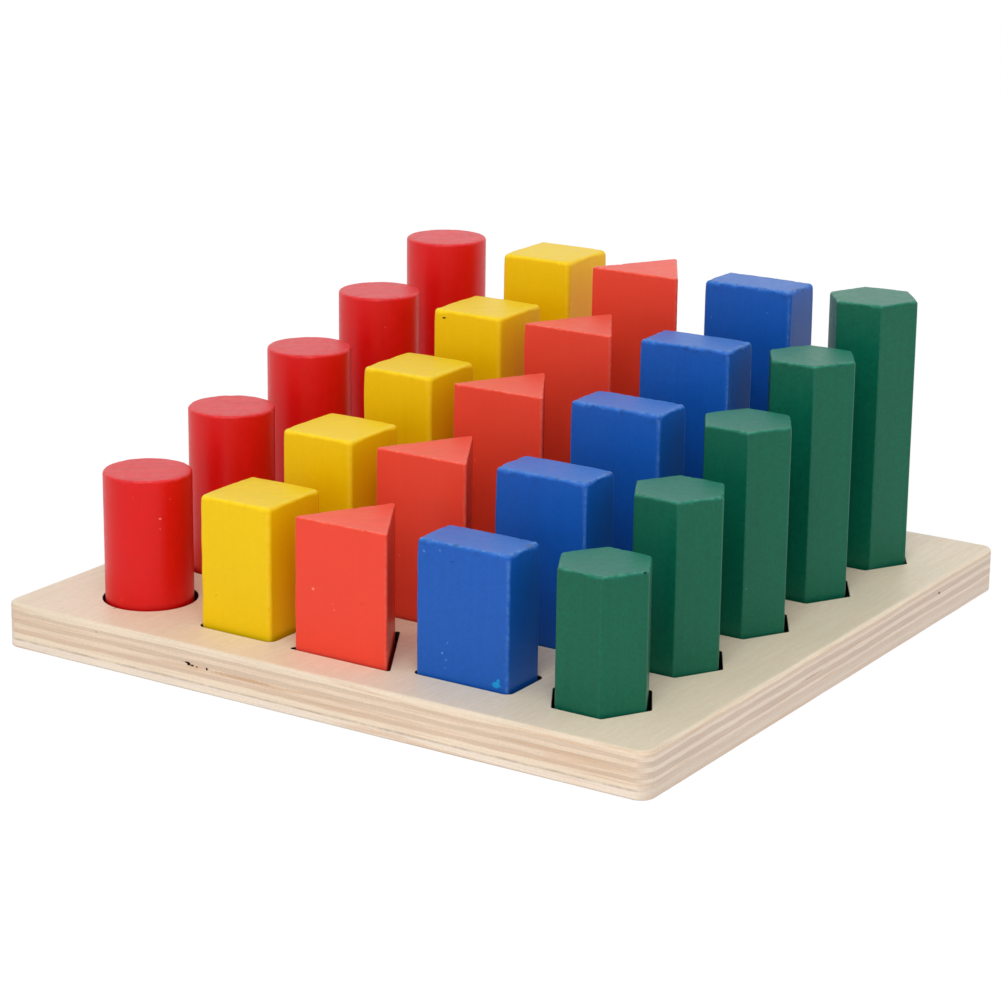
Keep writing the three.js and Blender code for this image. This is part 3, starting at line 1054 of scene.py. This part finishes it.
def edgeWood(tree, patterns):
    # The joints wander a little, long fibres run along the side, sawn fibres show as fine dots. In
    # front the glue joint shows as a grey line with breaks, and a painted contact shadow as a grey line
    # along the lower edge.
    look = plyLook
    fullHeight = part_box("socket_board")[1].z
    height = addNode(tree, "SeparateXYZ", {"Vector": objectPoint(tree)}).outputs["Z"]
    wandering = height
    for name, reach in (("slow", look["slowWander"]), ("fast", look["fastWander"])):
        away = spread(tree, patterns[name], *noiseRange, -reach * mm, reach * mm)
        wandering = calculate(tree, "ADD", wandering, away)
    depth = spread(tree, wandering, fullHeight, 0)
    sideShare = spread(tree, attribute(tree, "sideShare"), *look["sideFrom"])
    colour = mixColours(
        tree, sideShare, plyRamp(tree, depth, frontPlies), plyRamp(tree, depth, sidePlies),
    )
    stained = spread(tree, patterns["stain"], *plywoodLook["stainReach"], 0, plywoodLook["stain"])
    colour = mixColours(tree, stained, colour, linearColour(*plyShades["streak"]))
    streaks = vary(tree, patterns["long"], look["streakVariation"], look["fineReach"])
    dots = vary(tree, patterns["dots"], look["dotVariation"], look["fineReach"])
    colour = shadeBy(tree, colour, multiply(tree, streaks, dots))

    straight = spread(tree, height, fullHeight, 0)
    wander = spread(tree, patterns["fast"], *noiseRange, -look["glueWander"], look["glueWander"])
    fromGlue = calculate(tree, "SUBTRACT", straight, look["glueDepth"])
    fromGlue = calculate(tree, "ABSOLUTE", calculate(tree, "ADD", fromGlue, wander))
    glue = spread(tree, fromGlue, look["glueWidth"], look["glueCore"] * look["glueWidth"])
    broken = spread(tree, patterns["breaks"], *look["glueBreaks"], *look["glueShare"])
    glue = multiply(tree, glue, broken)
    # Painted contact shadow: a grey line along the bottom of the front edge, where it meets the floor
    contactShadow = spread(tree, straight, look["contactShadowDepth"], 1.0, 0, look["contactShadowShare"])
    glueAndContactShadow = calculate(tree, "MAXIMUM", glue, contactShadow)
    glueAndContactShadow = multiply(tree, glueAndContactShadow, calculate(tree, "SUBTRACT", 1.0, sideShare))
    return mixColours(tree, glueAndContactShadow, colour, linearColour(*plyShades["glue"]))


def makePlywood(name):
    # Face and edge wood, then single marks, the burnt cut-outs and slow paler and darker stretches
    look = plywoodLook
    material, tree, shader = newMaterial(name, linearColour(*look["top"]))
    patterns = {name: noise(tree, *settings) for name, settings in plywoodNoises.items()}
    edgeShare = spread(tree, attribute(tree, "edgeShare"), *plyLook["edgeFrom"])
    colour = mixColours(tree, edgeShare, faceWood(tree, patterns), edgeWood(tree, patterns))
    colour, shine = addMarks(tree, colour, look["marks"])
    burnt = spread(tree, patterns["char"], *noiseRange, look["leastChar"], 1.0)
    burnt = multiply(tree, attribute(tree, "charShare"), burnt, True)
    burnt = spread(tree, burnt, *look["charEdge"])
    colour = mixColours(tree, burnt, colour, linearColour(*look["char"]))
    colour = shadeBy(tree, colour, vary(tree, patterns["cloud"], look["cloud"]))
    normal = bump(tree, patterns["streaks"], look["streakDepth"])
    connect(tree, shader, {
        "Base Color": colour,
        "Specular IOR Level": multiply(tree, shine, look["specular"]),
        "Roughness": varyRoughness(tree, patterns["streaks"], look),
        "Normal": bump(tree, patterns["fibre"], look["fibreDepth"], normal),
    })
    return material


boardRandom = np.random.default_rng(7)
plywoodBoard = makeBoard(makePlywood("plywood"), boardRandom)
plywoodPanel = makePanel(makePlywood("panel_plywood"), boardRandom)
print("board made,", len(plywoodBoard.data.polygons), "faces, panel", len(plywoodPanel.data.polygons))


# Studio: a white room that gives soft light, a softbox in front on the right, and a pale floor
studio = {
    "horizonLight": 1.25,
    "zenithLight": 0.3,
    "softboxPlace": (0.6, -1.2, 1.5),
    "softboxSize": 1.1,
    "softboxPower": 14.6,
    "floorSize": 6,
    "floorShade": (250, 250, 250),
    "floorDrop": 0.05,
    "shadowShare": 0.12,
    "floorWhite": 1.05,
}


def seenDirectly(tree):
    # 1 for rays from the camera, off a glossy surface or through glass
    path = addNode(tree, "LightPath")
    seen = calculate(tree, "MAXIMUM", path.outputs["Is Camera Ray"], path.outputs["Is Glossy Ray"])
    return calculate(tree, "MAXIMUM", seen, path.outputs["Is Transmission Ray"])


def makeRoom():
    # Light falls from the walls more than from overhead, and the camera sees plain white
    world = bpy.data.worlds.new("studio")
    scene.world = world
    world.use_nodes = True
    tree = world.node_tree
    tree.nodes.clear()
    direction = addNode(tree, "TexCoord").outputs["Generated"]
    rise = addNode(tree, "SeparateXYZ", {"Vector": direction}).outputs["Z"]
    strength = spread(tree, rise, 0, 1, studio["horizonLight"], studio["zenithLight"])
    light = addNode(tree, "Background", {"Color": (1, 1, 1, 1), "Strength": strength})
    seen = addNode(tree, "Background", {"Color": (1, 1, 1, 1), "Strength": 1.0})
    sockets = {0: seenDirectly(tree), 1: light.outputs[0], 2: seen.outputs[0]}
    mixed = addNode(tree, "MixShader", sockets)
    addNode(tree, "OutputWorld", {"Surface": mixed.outputs[0]})


def makeFloor():
    half = studio["floorSize"] / 2
    drop = -studio["floorDrop"] * mm
    corners = [(-half, -half, drop), (half, -half, drop), (half, half, drop), (-half, half, drop)]
    mesh = bpy.data.meshes.new("floor")
    mesh.from_pydata(corners, [], [(0, 1, 2, 3)])
    floor = bpy.data.objects.new("floor", mesh)
    scene.collection.objects.link(floor)
    material = bpy.data.materials.new("floor_card")
    material.use_nodes = True
    tree = material.node_tree
    tree.nodes.clear()
    card = addNode(tree, "BsdfDiffuse", {"Color": linearColour(*studio["floorShade"])})
    white = addNode(tree, "Emission", {"Color": (1, 1, 1, 1), "Strength": studio["floorWhite"]})
    share = multiply(tree, seenDirectly(tree), 1 - studio["shadowShare"])
    mixed = addNode(tree, "MixShader", {0: share, 1: card.outputs[0], 2: white.outputs[0]})
    addNode(tree, "OutputMaterial", {"Surface": mixed.outputs[0]})
    mesh.materials.append(material)


def makeSoftbox():
    # A square lamp that faces the middle of the frame
    light = bpy.data.lights.new("softbox", "AREA")
    light.shape = "SQUARE"
    light.size = studio["softboxSize"]
    light.energy = studio["softboxPower"]
    lamp = bpy.data.objects.new("softbox", light)
    position = np.array(studio["softboxPlace"])
    forward = -position / np.linalg.norm(position)
    sideways = np.cross(forward, [0, 0, 1])
    sideways /= np.linalg.norm(sideways)
    place(lamp, sideways, np.cross(sideways, forward), -forward, position)


makeRoom()
makeFloor()
makeSoftbox()
print("studio lit")
